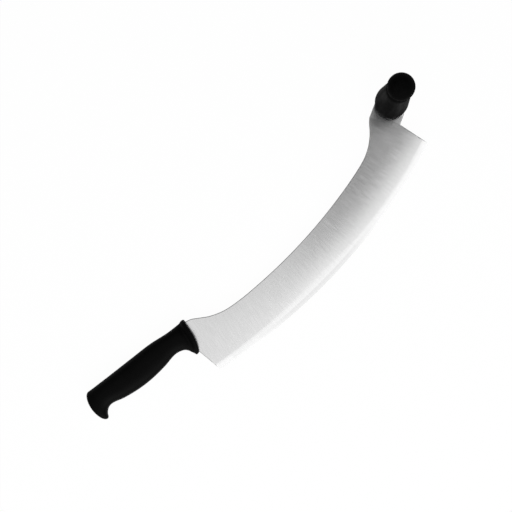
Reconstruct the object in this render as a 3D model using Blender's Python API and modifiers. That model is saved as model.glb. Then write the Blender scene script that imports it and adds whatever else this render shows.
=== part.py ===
"""Double-handled cheese knife: a curved steel blade with a moulded handle at its heel and another at its tip.

The knife lies on its side. X runs along the chord of the cutting edge from heel to tip, Y from the edge
towards the spine, and Z up, out of the blade's flat side, the way the second handle stands.
Drawing coordinates start at the heel corner, in the blade's middle plane. An empty then moves the whole
knife so that the origin is under the middle of its bounding box.
"""

import math

import bmesh
import bpy
from mathutils import Matrix, Vector
from mathutils.geometry import interpolate_bezier

# Blade
CHORD = 0.3616
EDGE_RADIUS = 0.714
BLADE_THICKNESS = 0.0025
BEVEL_WIDTH = 0.008
BEVEL_THICKNESS = 0.0017
EDGE_THICKNESS = 0.0004
GRIND_WIDTH = 0.040

# Grinding wheel: its depth from rim to hub side, and its rim's share of the edge's thickness
WHEEL_REACH = 0.100
RIM_SHARE = 0.5

# Spine: one long arc, then a curve up to the main handle, in that handle's frame
SPINE_HEIGHT = 0.0309
SPINE_RADIUS = 0.6505
SPINE_LOWEST_X = 0.1733
SPINE_ARC_FROM_X = 0.0760
SPINE_ARC_TO_X = 0.2720
SPINE_AT_HANDLE = ((-0.0458, 0.0003), (-0.0280, 0.0046), (-0.0144, 0.0111), (-0.0075, 0.0144))

# Second handle's axis, in plan
AXIS_PAST_TIP = 0.0044
AXIS_HEIGHT = 0.0649

# Neck at the tip, in its own frame: along it from the second handle's axis, and across it
NECK_ANGLE = math.radians(22.3)
NECK_WIDTH = 0.0367
NECK_OFFSET = 0.0010
NECK_SHOULDER = (
    (-0.0240, 0.0184),
    (-0.0300, 0.0166),
    (-0.0382, 0.0129),
    (-0.0465, 0.0100),
    (-0.0590, 0.0076),
    (-0.0740, 0.0077),
)
NOTCH_DISTANCE = 0.0193
BEND_RADIUS = 0.0060

# Main handle, in its own frame: distance behind its front, and height above its axis
HANDLE_X = 0.0092
HANDLE_Y = 0.0526
HANDLE_TILT = math.radians(12.1)
HANDLE_LENGTH = 0.1482
HANDLE_TOP = ((0.000, 0.0183), (0.025, 0.0172), (0.048, 0.0183), (0.080, 0.0169), (0.120, 0.0149))
HANDLE_BOTTOM = (
    (0.0000, -0.0218),
    (0.0050, -0.0227),
    (0.0102, -0.0190),
    (0.0144, -0.0144),
    (0.0192, -0.0110),
    (0.0292, -0.0090),
    (0.0502, -0.0136),
    (0.0702, -0.0168),
    (0.0872, -0.0177),
    (0.1092, -0.0163),
)
HANDLE_HALF_THICKNESS = ((0.000, 0.0098), (0.022, 0.0093), (0.050, 0.0102), (0.085, 0.0115), (0.110, 0.0113))
HANDLE_SQUARENESS = 2.4

# The same outlines near the butt, by distance before its end
BUTT_TOP = ((0.0, 0.0142),)
BUTT_BOTTOM = ((0.0230, -0.0135), (0.0165, -0.0149), (0.0107, -0.0195), (0.0066, -0.0243), (0.0, -0.0250))
BUTT_HALF_THICKNESS = ((0.0170, 0.0104), (0.0, 0.0098))

# Ends of the main handle, and the lip round its front
FRONT_FACE_RADIUS = 0.053
FRONT_FLAT_ABOVE = 0.0030
FRONT_SWEEP_DEPTH = 0.030
FRONT_FILLET = 0.0015
LIP_LENGTH = 0.0034
LIP_RISE = 0.0009
LIP_BLEND = 0.0022
BUTT_RADIUS = 0.042
BUTT_CENTRE = -0.0045
BUTT_SWEEP_DEPTH = 0.020
BUTT_FILLET = 0.0040
RING_SPACING = 0.0030
QUARTER_POINTS = 7

# Where the blade's plate enters the main handle and narrows to its tang, in that handle's frame
PLATE_ENTRY = (-0.0004, 0.0157)
PLATE_TOP_INSIDE = (0.0110, 0.0130)
PLATE_BOTTOM_INSIDE = (0.0084, -0.0148)
TANG_TOP_FROM = 0.015
TANG_BOTTOM_FROM = 0.023
TANG_END = 0.112
TANG_WIDTH = 0.015
TANG_CENTRE = 0.0030
TANG_FULL_THICKNESS_FROM = 0.0055
TANG_HOLES = (0.046, 0.086)
TANG_HOLE_RADIUS = 0.0030
TANG_KEEPER_REACH = 0.035

# Second handle, turned about its axis
SECOND_ABOVE_BEND = 0.0027
SECOND_LENGTH = 0.1100
SECOND_BALL_RADIUS = 0.0154
SECOND_BASE_RADIUS = 0.0194
SECOND_BASE_FILLET = 0.0014
SECOND_BASE_HEIGHT = 0.0090
SECOND_TOP_RADIUS = 0.0144
SECOND_TOP_BELOW_BALL = 0.0185
SECOND_WAIST_RADIUS = 0.0126
SECOND_WAIST_BELOW_BALL = 0.0122
SECOND_FLANK_SHARES = (0.15, 0.5, 0.85)
DIMPLE_RADIUS = 0.0011
DIMPLE_DEPTH = 0.0004
TURNING_STEPS = 48

# Bent-up tang in the second handle
SECOND_TANG_WIDTH = 0.020
SECOND_TANG_LENGTH = 0.072
SECOND_TANG_HOLES = (0.026, 0.050)
SHOULDER_BELOW_BASE = 0.0022

# Gap between steel and plastic
CLEARANCE = 0.0003

STEEL_COLOUR = (0.62, 0.62, 0.63, 1.0)
PLASTIC_COLOUR = (0.012, 0.012, 0.013, 1.0)

EDGE_STEPS = 48
SPINE_STEPS = 8
CURVE_STEPS = 6
WHEEL_STEPS = 480
BEND_STEPS = 8
HOLE_STEPS = 20
BALL_STEPS = 14
FILLET_STEPS = 3
SHARP_ANGLE = math.radians(30)
WELD_DISTANCE = 1e-6
HALF_BLADE = BLADE_THICKNESS / 2
HALF_NECK = NECK_WIDTH / 2
SECOND_BASE_Z = HALF_BLADE + BEND_RADIUS + SECOND_ABOVE_BEND


def clear_scene():
    for obj in list(bpy.data.objects):
        bpy.data.objects.remove(obj, do_unlink=True)


def new_collection(name):
    collection = bpy.data.collections.new(name)
    bpy.context.scene.collection.children.link(collection)
    return collection


def new_material(name, colour, metallic, roughness):
    material = bpy.data.materials.new(name)
    material.use_nodes = True
    shader = material.node_tree.nodes["Principled BSDF"]
    shader.inputs["Base Color"].default_value = colour
    shader.inputs["Metallic"].default_value = metallic
    shader.inputs["Roughness"].default_value = roughness
    return material


def on_handle(back, height):
    """The plan point a distance behind the main handle's front and a height above its axis."""
    cosine, sine = math.cos(HANDLE_TILT), math.sin(HANDLE_TILT)
    return Vector((HANDLE_X - back * cosine + height * sine, HANDLE_Y + back * sine + height * cosine))


def second_axis():
    return Vector((CHORD + AXIS_PAST_TIP, AXIS_HEIGHT))


def on_neck(along, across):
    """The plan point beyond the second handle's axis along the neck, and across it from the neck's middle."""
    cosine, sine = math.cos(NECK_ANGLE), math.sin(NECK_ANGLE)
    across -= NECK_OFFSET
    return second_axis() + Vector((along * cosine - across * sine, along * sine + across * cosine))


def edge_centre():
    """The centre of the cutting edge's arc, over the middle of the chord."""
    return Vector((CHORD / 2, math.sqrt(EDGE_RADIUS**2 - (CHORD / 2) ** 2)))


def arc(centre, radius, start, end, steps):
    angles = [start + (end - start) * step / steps for step in range(steps + 1)]
    return [centre + radius * Vector((math.cos(angle), math.sin(angle))) for angle in angles]


def smooth_line(points, samples):
    """A smooth curve through the points, with this many samples between each two."""
    line = []
    for index in range(len(points) - 1):
        start, end = points[index], points[index + 1]
        before, after = points[max(index - 1, 0)], points[min(index + 2, len(points) - 1)]
        reach = (end - start).length / 3
        leave = start + (end - before).normalized() * reach
        arrive = end - (after - start).normalized() * reach
        line += interpolate_bezier(start, leave, arrive, end, samples + 1)[:-1]
    return line + [points[-1]]


def smooth_value(table, place):
    """The value at a place between rows of (place, value), on a curve that never overshoots a row."""
    slopes = []
    for index in range(len(table)):
        before, after = table[max(index - 1, 0)], table[min(index + 1, len(table) - 1)]
        here = table[index]
        rise_before, rise_after = here[1] - before[1], after[1] - here[1]
        turning = rise_before * rise_after <= 0
        slopes.append(0.0 if turning else (after[1] - before[1]) / (after[0] - before[0]))
    for index in range(len(table) - 1):
        (start, low), (end, high) = table[index], table[index + 1]
        if place <= end or index == len(table) - 2:
            span = end - start
            share = min(max((place - start) / span, 0.0), 1.0)
            left = low + slopes[index] * span / 3
            right = high - slopes[index + 1] * span / 3
            rest = 1 - share
            return (
                low * rest**3
                + 3 * left * rest**2 * share
                + 3 * right * rest * share**2
                + high * share**3
            )


def grown(outline, distance):
    """The closed outline with every side moved outwards by a distance."""
    count = len(outline)
    area = sum(outline[i - 1].x * outline[i].y - outline[i].x * outline[i - 1].y for i in range(count))
    outward = 1.0 if area > 0 else -1.0
    result = []
    for index in range(count):
        here = outline[index]
        into = (here - outline[index - 1]).normalized()
        out = (outline[(index + 1) % count] - here).normalized()
        normals = [Vector((side.y, -side.x)) * outward for side in (into, out)]
        mitre = (normals[0] + normals[1]) / (1 + normals[0].dot(normals[1]))
        result.append(here + mitre * distance)
    return result


def solid_from(obj, collection):
    """Replaces a curve or a modified object by its plain mesh, with the caps welded."""
    bpy.context.view_layer.update()
    evaluated = obj.evaluated_get(bpy.context.evaluated_depsgraph_get())
    mesh = bpy.data.meshes.new_from_object(evaluated)
    welded = bmesh.new()
    welded.from_mesh(mesh)
    bmesh.ops.remove_doubles(welded, verts=welded.verts, dist=WELD_DISTANCE)
    welded.to_mesh(mesh)
    welded.free()
    name, place = obj.name, obj.matrix_world.copy()
    bpy.data.objects.remove(obj, do_unlink=True)
    solid = bpy.data.objects.new(name, mesh)
    solid.matrix_world = place
    collection.objects.link(solid)
    return solid


def slab(name, loops, thickness, collection, place=None):
    """A flat solid from an outer outline and any hole outlines, with its middle plane at the place."""
    curve = bpy.data.curves.new(name, "CURVE")
    curve.dimensions = "2D"
    curve.fill_mode = "BOTH"
    curve.extrude = thickness / 2
    for loop in loops:
        spline = curve.splines.new("POLY")
        spline.points.add(len(loop) - 1)
        for point, corner in zip(spline.points, loop):
            point.co = (corner.x, corner.y, 0.0, 1.0)
        spline.use_cyclic_u = True
    obj = bpy.data.objects.new(name, curve)
    obj.matrix_world = place or Matrix.Identity(4)
    collection.objects.link(obj)
    return solid_from(obj, collection)


def turned(name, profile, steps, collection):
    """A profile of (radius, height) points, from top to bottom, turned about Z."""
    mesh = bpy.data.meshes.new(name)
    points = [(radius, 0.0, height) for radius, height in profile]
    closed = profile[0][0] > 0
    sides = [(index, index + 1) for index in range(len(points) - 1)]
    mesh.from_pydata(points, sides + ([(len(points) - 1, 0)] if closed else []), [])
    obj = bpy.data.objects.new(name, mesh)
    collection.objects.link(obj)
    screw = obj.modifiers.new("turn", "SCREW")
    screw.axis = "Z"
    screw.angle = 2 * math.pi
    screw.steps = steps
    screw.render_steps = steps
    screw.use_merge_vertices = True
    screw.merge_threshold = WELD_DISTANCE
    return obj


def as_cutter(obj):
    obj.hide_render = True
    obj.display_type = "WIRE"
    return obj


def boolean(obj, operation, other):
    modifier = obj.modifiers.new(operation.lower(), "BOOLEAN")
    modifier.operation = operation
    modifier.object = other
    modifier.solver = "EXACT"
    return modifier


def finish(obj, material):
    """Gives a part its material and its smooth shading."""
    obj.data.materials.clear()
    obj.data.materials.append(material)
    obj.data.shade_smooth()
    obj.data.set_sharp_from_angle(angle=SHARP_ANGLE)


def neck_frame(first, second):
    """A frame on the second handle's axis with its X and Y along the two directions given."""
    centre = second_axis()
    rotation = Matrix((first, second, first.cross(second))).transposed()
    return Matrix.Translation((centre.x, centre.y, 0.0)) @ rotation.to_4x4()


def neck_directions():
    along = Vector((math.cos(NECK_ANGLE), math.sin(NECK_ANGLE), 0.0))
    across = Vector((-math.sin(NECK_ANGLE), math.cos(NECK_ANGLE), 0.0))
    return along, across, Vector((0.0, 0.0, 1.0))


def bend_start():
    """How far before the second handle's axis the bend begins, along the neck."""
    return -(BEND_RADIUS + HALF_BLADE)


def spine_arc():
    """The long arc of the spine, from the tip's side to the main handle's side."""
    centre = Vector((SPINE_LOWEST_X, SPINE_HEIGHT + SPINE_RADIUS))
    down = -math.pi / 2
    start = down + math.asin((SPINE_ARC_TO_X - SPINE_LOWEST_X) / SPINE_RADIUS)
    end = down + math.asin((SPINE_ARC_FROM_X - SPINE_LOWEST_X) / SPINE_RADIUS)
    return arc(centre, SPINE_RADIUS, start, end, SPINE_STEPS)


def spine_line():
    """The spine from the neck's shoulder down and along to where it enters the main handle."""
    shoulder = [on_neck(along, across) for along, across in NECK_SHOULDER]
    at_handle = [on_handle(back, height) for back, height in (*SPINE_AT_HANDLE, PLATE_ENTRY)]
    return smooth_line([*shoulder, *spine_arc(), *at_handle], CURVE_STEPS)


def tang_root():
    """The plan points where the plate narrows to the tang: two above it and two below."""
    top, bottom = TANG_CENTRE + TANG_WIDTH / 2, TANG_CENTRE - TANG_WIDTH / 2
    above = [on_handle(*PLATE_TOP_INSIDE), on_handle(TANG_TOP_FROM, top)]
    below = [on_handle(TANG_BOTTOM_FROM, bottom), on_handle(*PLATE_BOTTOM_INSIDE)]
    return above, below


def tang_end():
    """The rounded end of the tang, from its upper side to its lower one."""
    radius = TANG_WIDTH / 2
    centre = on_handle(TANG_END - radius, TANG_CENTRE)
    upper = math.radians(90) - HANDLE_TILT
    return arc(centre, radius, upper, upper + math.pi, HOLE_STEPS // 2)


def blade_outline():
    """The whole plate in plan: edge, tip, neck up to its bend, spine, tang and heel, in that order."""
    centre = edge_centre()
    half_angle = math.asin(CHORD / 2 / EDGE_RADIUS)
    down = -math.pi / 2
    edge = arc(centre, EDGE_RADIUS, down - half_angle, down + half_angle, EDGE_STEPS)
    notch = on_neck(-NOTCH_DISTANCE, -HALF_NECK)
    neck_end = [on_neck(bend_start(), -HALF_NECK), on_neck(bend_start(), HALF_NECK)]
    above, below = tang_root()
    return [*edge, notch, *neck_end, *spine_line(), *above, *tang_end(), *below]


def tang_holes(radius):
    centres = [on_handle(back, TANG_CENTRE) for back in TANG_HOLES]
    return [arc(centre, radius, 0.0, 2 * math.pi, HOLE_STEPS)[:-1] for centre in centres]


def second_tang_outline():
    """The bent-up strip seen along the neck: full width at the bend, then chamfered to the tang's width."""
    half = SECOND_TANG_WIDTH / 2
    top = SECOND_BASE_Z + SECOND_TANG_LENGTH
    shoulder = SECOND_BASE_Z - SHOULDER_BELOW_BASE
    right, left = HALF_NECK - NECK_OFFSET, -HALF_NECK - NECK_OFFSET
    end = arc(Vector((0.0, top - half)), half, 0.0, math.pi, HOLE_STEPS // 2)
    return [
        Vector((left, -BLADE_THICKNESS)),
        Vector((right, -BLADE_THICKNESS)),
        Vector((right, shoulder)),
        Vector((half, shoulder + right - half)),
        *end,
        Vector((-half, shoulder - left - half)),
        Vector((left, shoulder)),
    ]


def second_tang_holes(radius):
    centres = [Vector((0.0, SECOND_BASE_Z + height)) for height in SECOND_TANG_HOLES]
    return [arc(centre, radius, 0.0, 2 * math.pi, HOLE_STEPS)[:-1] for centre in centres]


def bent_strip_outline():
    """The bent-up strip seen from its side: a short flat length, the bend, and the upright tang."""
    centre = Vector((bend_start(), HALF_BLADE + BEND_RADIUS))
    flat_start = bend_start() - 2 * BLADE_THICKNESS
    outer = arc(centre, BEND_RADIUS + BLADE_THICKNESS, -math.pi / 2, 0.0, BEND_STEPS)
    inner = arc(centre, BEND_RADIUS, 0.0, -math.pi / 2, BEND_STEPS)
    top = SECOND_BASE_Z + SECOND_TANG_LENGTH + BLADE_THICKNESS
    upright = [Vector((HALF_BLADE, top)), Vector((-HALF_BLADE, top))]
    flat = [Vector((flat_start, HALF_BLADE)), Vector((flat_start, -HALF_BLADE))]
    return [*outer, *upright, *inner, *flat]


def grinding_wheel(cutters):
    """A thin wedge turned about the edge's centre: the blade's ground faces lie on it."""
    inner = EDGE_RADIUS - WHEEL_REACH
    bevel = EDGE_RADIUS - BEVEL_WIDTH
    grind_slope = (BLADE_THICKNESS - BEVEL_THICKNESS) / 2 / (GRIND_WIDTH - BEVEL_WIDTH)
    bevel_slope = (BEVEL_THICKNESS - EDGE_THICKNESS) / 2 / BEVEL_WIDTH
    rim_half = RIM_SHARE * EDGE_THICKNESS / 2
    rim = EDGE_RADIUS + (EDGE_THICKNESS / 2 - rim_half) / bevel_slope
    upper = [
        (inner, BEVEL_THICKNESS / 2 + grind_slope * (bevel - inner)),
        (bevel, BEVEL_THICKNESS / 2),
        (rim, rim_half),
    ]
    lower = [(radius, -height) for radius, height in reversed(upper)]
    wheel = turned("grinding_wheel", [*upper, *lower], WHEEL_STEPS, cutters)
    centre = edge_centre()
    wheel.location = (centre.x, centre.y, 0.0)
    return as_cutter(wheel)


def front_sweep(height):
    """How far the main handle's front face lies back at a height: flat above, and round below."""
    return min(height - FRONT_FLAT_ABOVE, 0.0) ** 2 / (2 * FRONT_FACE_RADIUS)


def tang_keeper(cutters):
    """A block round the tang, which isn't ground, inside the main handle."""
    front, back = TANG_FULL_THICKNESS_FROM, TANG_END + TANG_WIDTH
    low = PLATE_BOTTOM_INSIDE[1]
    corners = [on_handle(front, TANG_KEEPER_REACH), on_handle(back, TANG_KEEPER_REACH)]
    corners += [on_handle(back, -TANG_KEEPER_REACH), on_handle(front + front_sweep(low), -TANG_KEEPER_REACH)]
    return as_cutter(slab("tang_keeper", [corners], 4 * BLADE_THICKNESS, cutters))


def make_blade(parts, cutters, steel):
    blade = slab("blade", [blade_outline(), *tang_holes(TANG_HOLE_RADIUS)], BLADE_THICKNESS, parts)
    wheel = grinding_wheel(cutters)
    boolean(wheel, "UNION", tang_keeper(cutters))
    boolean(blade, "INTERSECT", wheel)

    along, across, up = neck_directions()
    strip_outline = bent_strip_outline()
    strip = slab("bent_strip", [strip_outline], 2 * NECK_WIDTH, cutters, neck_frame(along, up))
    front_loops = [second_tang_outline(), *second_tang_holes(TANG_HOLE_RADIUS)]
    depth = 4 * (BEND_RADIUS + 2 * BLADE_THICKNESS)
    front = slab("bent_strip_front", front_loops, depth, cutters, neck_frame(across, up))
    boolean(strip, "INTERSECT", as_cutter(front))
    boolean(blade, "UNION", as_cutter(strip))
    finish(blade, steel)
    return blade


def fillet_inset(distance, radius):
    """How far a section draws in at a distance from an end with a rounded rim."""
    if distance >= radius:
        return 0.0
    return radius - math.sqrt(radius**2 - (radius - distance) ** 2)


def lip_rise(back):
    """How far the front lip stands out from the handle's body at a distance behind the front."""
    share = min(max((back - LIP_LENGTH) / LIP_BLEND, 0.0), 1.0)
    return LIP_RISE * (1 - share * share * (3 - 2 * share))


def handle_stations():
    """Distances behind the front where the main handle's sections stand."""
    quarter = [math.pi / 2 * step / FILLET_STEPS for step in range(FILLET_STEPS + 1)]
    front = [FRONT_FILLET * (1 - math.cos(angle)) for angle in quarter]
    butt = [HANDLE_LENGTH - BUTT_FILLET * (1 - math.cos(angle)) for angle in reversed(quarter)]
    lip = [LIP_LENGTH, LIP_LENGTH + LIP_BLEND / 2, LIP_LENGTH + LIP_BLEND]
    count = round((butt[0] - lip[-1]) / RING_SPACING)
    step = (butt[0] - lip[-1]) / count
    return [*front, *lip, *(lip[-1] + step * index for index in range(1, count)), *butt]


def handle_table(front_rows, butt_rows):
    """An outline's rows from the front, with those near the butt placed from the handle's end."""
    return [*front_rows, *((HANDLE_LENGTH - before_end, value) for before_end, value in butt_rows)]


def handle_section(station):
    """One section of the main handle: an oval whose height follows the outlines above and below."""
    inset = fillet_inset(station, FRONT_FILLET) + fillet_inset(HANDLE_LENGTH - station, BUTT_FILLET)
    out = lip_rise(station) - inset
    top = smooth_value(handle_table(HANDLE_TOP, BUTT_TOP), station) + out
    bottom = smooth_value(handle_table(HANDLE_BOTTOM, BUTT_BOTTOM), station) - out
    half = smooth_value(handle_table(HANDLE_HALF_THICKNESS, BUTT_HALF_THICKNESS), station) + out
    section = []
    for index in range(4 * QUARTER_POINTS):
        angle = math.pi / 2 * index / QUARTER_POINTS
        rise = math.copysign(abs(math.cos(angle)) ** (2 / HANDLE_SQUARENESS), math.cos(angle))
        width = math.copysign(abs(math.sin(angle)) ** (2 / HANDLE_SQUARENESS), math.sin(angle))
        height = (top + bottom) / 2 + (top - bottom) / 2 * rise
        front_share = max(1 - station / FRONT_SWEEP_DEPTH, 0.0)
        butt_share = max(1 - (HANDLE_LENGTH - station) / BUTT_SWEEP_DEPTH, 0.0)
        back = station + front_share * front_sweep(height)
        back -= butt_share * (height - BUTT_CENTRE) ** 2 / (2 * BUTT_RADIUS)
        place = on_handle(back, height)
        section.append((place.x, place.y, half * width))
    return section


def cap_section(mesh, ring):
    """Closes an end section with a row of four-sided faces from its top to its bottom."""
    count = len(ring)
    for index in range(count // 2):
        corners = [ring[index], ring[index + 1], ring[-index - 1], ring[-index % count]]
        unique = list(dict.fromkeys(corners))
        mesh.faces.new(unique)


def make_main_handle(parts, cutters, plastic):
    shape = bmesh.new()
    rings = [[shape.verts.new(point) for point in handle_section(back)] for back in handle_stations()]
    for near, far in zip(rings, rings[1:]):
        for index in range(len(near)):
            following = (index + 1) % len(near)
            shape.faces.new((near[index], near[following], far[following], far[index]))
    cap_section(shape, rings[0])
    cap_section(shape, rings[-1])
    bmesh.ops.recalc_face_normals(shape, faces=shape.faces)
    mesh = bpy.data.meshes.new("main_handle")
    shape.to_mesh(mesh)
    shape.free()
    handle = bpy.data.objects.new("main_handle", mesh)
    parts.objects.link(handle)

    loops = [grown(blade_outline(), CLEARANCE), *tang_holes(TANG_HOLE_RADIUS - CLEARANCE)]
    pocket = slab("main_pocket", loops, BLADE_THICKNESS + 2 * CLEARANCE, cutters)
    boolean(handle, "DIFFERENCE", as_cutter(pocket))
    finish(handle, plastic)
    return handle


def second_handle_profile():
    """The second handle's outline from the pole of its ball down to its base, as (radius, height)."""
    base = SECOND_BASE_Z
    pole = base + SECOND_LENGTH
    ball_centre = pole - SECOND_BALL_RADIUS
    dimple = [(0.0, pole - DIMPLE_DEPTH), (DIMPLE_RADIUS / 2, pole - DIMPLE_DEPTH)]
    rim = math.asin(DIMPLE_RADIUS / SECOND_BALL_RADIUS)
    ball = arc(Vector((0.0, ball_centre)), SECOND_BALL_RADIUS, math.pi / 2 - rim, 0.0, BALL_STEPS)
    top = Vector((SECOND_TOP_RADIUS, ball_centre - SECOND_TOP_BELOW_BALL))
    bottom = Vector((SECOND_BASE_RADIUS, base + SECOND_BASE_HEIGHT))
    waist = Vector((SECOND_WAIST_RADIUS, ball_centre - SECOND_WAIST_BELOW_BALL))
    flank = (top.lerp(bottom, share) for share in SECOND_FLANK_SHARES)
    foot = Vector((SECOND_BASE_RADIUS, base + SECOND_BASE_FILLET))
    side = smooth_line([ball[-1], waist, top, *flank, bottom, foot], CURVE_STEPS)
    centre = Vector((SECOND_BASE_RADIUS - SECOND_BASE_FILLET, base + SECOND_BASE_FILLET))
    fillet = arc(centre, SECOND_BASE_FILLET, 0.0, -math.pi / 2, BEND_STEPS // 2)
    outline = [(point.x, point.y) for point in (*ball, *side[1:], *fillet[1:])]
    return [*dimple, *outline, (0.0, base)]


def make_second_handle(parts, cutters, plastic):
    handle = turned("second_handle", second_handle_profile(), TURNING_STEPS, parts)
    axis = second_axis()
    handle.location = (axis.x, axis.y, 0.0)
    handle.rotation_euler = (0.0, 0.0, NECK_ANGLE)

    across, up = neck_directions()[1:]
    loops = [grown(second_tang_outline(), CLEARANCE), *second_tang_holes(TANG_HOLE_RADIUS - CLEARANCE)]
    thickness = BLADE_THICKNESS + 2 * CLEARANCE
    pocket = slab("second_pocket", loops, thickness, cutters, neck_frame(across, up))
    boolean(handle, "DIFFERENCE", as_cutter(pocket))
    finish(handle, plastic)
    return handle


def stand_on_origin(objects):
    """Hangs the parts on an empty that puts the origin under the middle of their bounding box."""
    bpy.context.view_layer.update()
    graph = bpy.context.evaluated_depsgraph_get()
    points = []
    for obj in objects:
        evaluated = obj.evaluated_get(graph)
        points += [evaluated.matrix_world @ vert.co for vert in evaluated.data.vertices]
    low = Vector(min(point[axis] for point in points) for axis in range(3))
    high = Vector(max(point[axis] for point in points) for axis in range(3))
    frame = bpy.data.objects.new("knife_frame", None)
    bpy.context.scene.collection.objects.link(frame)
    frame.location = (-(low.x + high.x) / 2, -(low.y + high.y) / 2, -low.z)
    return frame


def main():
    clear_scene()
    parts = new_collection("cheese_knife")
    cutters = new_collection("cutters")
    steel = new_material("blade_steel", STEEL_COLOUR, 1.0, 0.32)
    plastic = new_material("handle_plastic", PLASTIC_COLOUR, 0.0, 0.45)
    knife = [
        make_blade(parts, cutters, steel),
        make_main_handle(parts, cutters, plastic),
        make_second_handle(parts, cutters, plastic),
    ]
    frame = stand_on_origin(knife)
    for obj in [*parts.objects, *cutters.objects]:
        obj.parent = frame


main()
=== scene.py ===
"""Studio picture of a double-handled cheese knife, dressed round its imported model.

The knife lies on a white floor and the camera looks straight down at it. The blade is ground and brushed
steel, and both handles are satin black plastic. Lengths are in metres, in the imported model's own frame.
"""

import math

import bmesh
import bpy
from mathutils import Matrix, Vector, noise
from mathutils.geometry import interpolate_bezier


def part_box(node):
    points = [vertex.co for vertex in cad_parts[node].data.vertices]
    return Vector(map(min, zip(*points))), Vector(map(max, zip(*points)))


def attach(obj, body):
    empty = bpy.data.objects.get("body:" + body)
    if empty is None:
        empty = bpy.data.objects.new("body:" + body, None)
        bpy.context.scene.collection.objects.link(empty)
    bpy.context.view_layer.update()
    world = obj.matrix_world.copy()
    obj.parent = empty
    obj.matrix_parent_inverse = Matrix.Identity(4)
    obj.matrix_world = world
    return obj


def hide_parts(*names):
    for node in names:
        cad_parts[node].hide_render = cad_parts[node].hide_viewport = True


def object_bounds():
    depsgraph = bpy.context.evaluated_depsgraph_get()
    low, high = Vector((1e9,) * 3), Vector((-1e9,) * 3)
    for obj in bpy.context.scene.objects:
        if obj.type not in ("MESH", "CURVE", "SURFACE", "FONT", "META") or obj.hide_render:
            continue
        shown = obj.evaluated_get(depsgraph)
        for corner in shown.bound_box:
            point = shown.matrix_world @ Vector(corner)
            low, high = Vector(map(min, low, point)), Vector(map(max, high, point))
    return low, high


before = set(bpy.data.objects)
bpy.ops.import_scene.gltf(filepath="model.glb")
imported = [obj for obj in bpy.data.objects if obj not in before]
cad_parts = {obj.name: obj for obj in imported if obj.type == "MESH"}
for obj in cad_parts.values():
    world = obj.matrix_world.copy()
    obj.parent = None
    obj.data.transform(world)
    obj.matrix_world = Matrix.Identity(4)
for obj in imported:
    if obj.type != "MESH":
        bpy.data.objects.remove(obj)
cad_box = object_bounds()

# The blade's plate and the circle of its cutting edge
CHORD = 0.3616
EDGE_RADIUS = 0.714
BLADE_THICKNESS = 0.0025
HALF_BLADE = BLADE_THICKNESS / 2

# The plate's rims: how far they are rounded, and how steep a point has to be to take the full painted shade
# that darkens the rims.
# The cut end at the heel, up to this far along the edge, is left as bright as the faces, with no painted
# shade
SPINE_ROUND = 0.00090
ROUND_STEPS = 5
RIM_TILT = 0.10
HEEL_CUT_END = 0.020

# The neck at the tip, and the strip bent up from it into the second handle
AXIS_PAST_TIP = 0.0044
AXIS_HEIGHT = 0.0649
NECK_ANGLE = math.radians(22.3)
NECK_WIDTH = 0.0367
BEND_RADIUS = 0.0060
BEND_STEPS = 12
BEND_SUPPORT = 0.0004
SHOULDER_HEIGHT = 0.00775
TANG_HALF_WIDTH = 0.0100
TANG_TOP = 0.0800

# The ground faces, by distance from the cutting edge. They lie a skim inside the plate's own faces. Two
# tables give half the thickness where the bevel ends, and the bevel's width, by distance along the edge
FACE_SKIM = 0.00001
EDGE_HALF = 0.00010
EDGE_BEVEL = 0.0009
EDGE_BEVEL_HALF = 0.00030
BEVEL_HALVES = (
    (0.000, 0.00102),
    (0.181, 0.00082),
    (0.330, 0.00076),
    (0.362, 0.00084),
)
GRIND_WIDTH = 0.0375
BEVEL_WIDTHS = (
    (0.000, 0.0062),
    (0.050, 0.0074),
    (0.110, 0.0090),
    (0.155, 0.0102),
    (0.190, 0.0093),
    (0.225, 0.0072),
    (0.295, 0.0062),
    (0.330, 0.0060),
    (0.362, 0.0068),
)

# The corner where bevel meets face is softened over a share of the bevel's width, and the width itself is
# uneven by a jitter, which changes over a short length
BLEND_SHARE = 0.35
JITTER = 0.0006
JITTER_LENGTH = 0.0022

# The form that grinds the blade reaches past its heel and tip, with its rings at shares of each ground zone
GRIND_STEP = 0.0010
PAST_HEEL = 0.120
PAST_TIP = 0.045
FORM_RINGS = (
    ("face", (3.0, 2.0, 1.0, 0.85, 0.7, 0.55, 0.4, 0.28, 0.18, 0.09, 0.0)),
    ("blend", (0.8, 0.6, 0.4, 0.2, 0.0, -0.2, -0.4, -0.6, -0.8, -1.0)),
    ("bevel", (0.5, 0.0)),
    ("edge", (0.5, 0.0, -0.3)),
)

# The main handle: where its axis begins, from the blade's heel, and then its sizes in its own frame, by
# distance behind its front and height above its axis
HANDLE_X = 0.0092
HANDLE_Y = 0.0526
HANDLE_TILT = math.radians(12.1)
HANDLE_LENGTH = 0.1482
HANDLE_TOP = (
    (0.0000, 0.0183),
    (0.0250, 0.0172),
    (0.0480, 0.0183),
    (0.0800, 0.0169),
    (0.1200, 0.0149),
    (0.1482, 0.01415),
)
HANDLE_BOTTOM = (
    (0.0000, -0.0218),
    (0.0050, -0.0227),
    (0.0102, -0.0190),
    (0.0144, -0.0144),
    (0.0192, -0.0110),
    (0.0292, -0.0090),
    (0.0502, -0.0136),
    (0.0702, -0.0168),
    (0.0872, -0.0177),
    (0.1092, -0.0163),
    (0.1252, -0.0135),
    (0.1317, -0.0149),
    (0.1375, -0.0195),
    (0.1416, -0.0243),
    (0.1482, -0.0250),
)
HANDLE_HALF_THICKNESS = (
    (0.0000, 0.0098),
    (0.0220, 0.0093),
    (0.0500, 0.0102),
    (0.0850, 0.0115),
    (0.1100, 0.0113),
    (0.1312, 0.0104),
    (0.1482, 0.0098),
)
HANDLE_SQUARENESS = 2.4
FRONT_FACE_RADIUS = 0.053
FRONT_FLAT_ABOVE = 0.0030
FRONT_SWEEP_DEPTH = 0.030
FRONT_FILLET = 0.0015
BUTT_RADIUS = 0.042
BUTT_CENTRE = -0.0045
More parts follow.
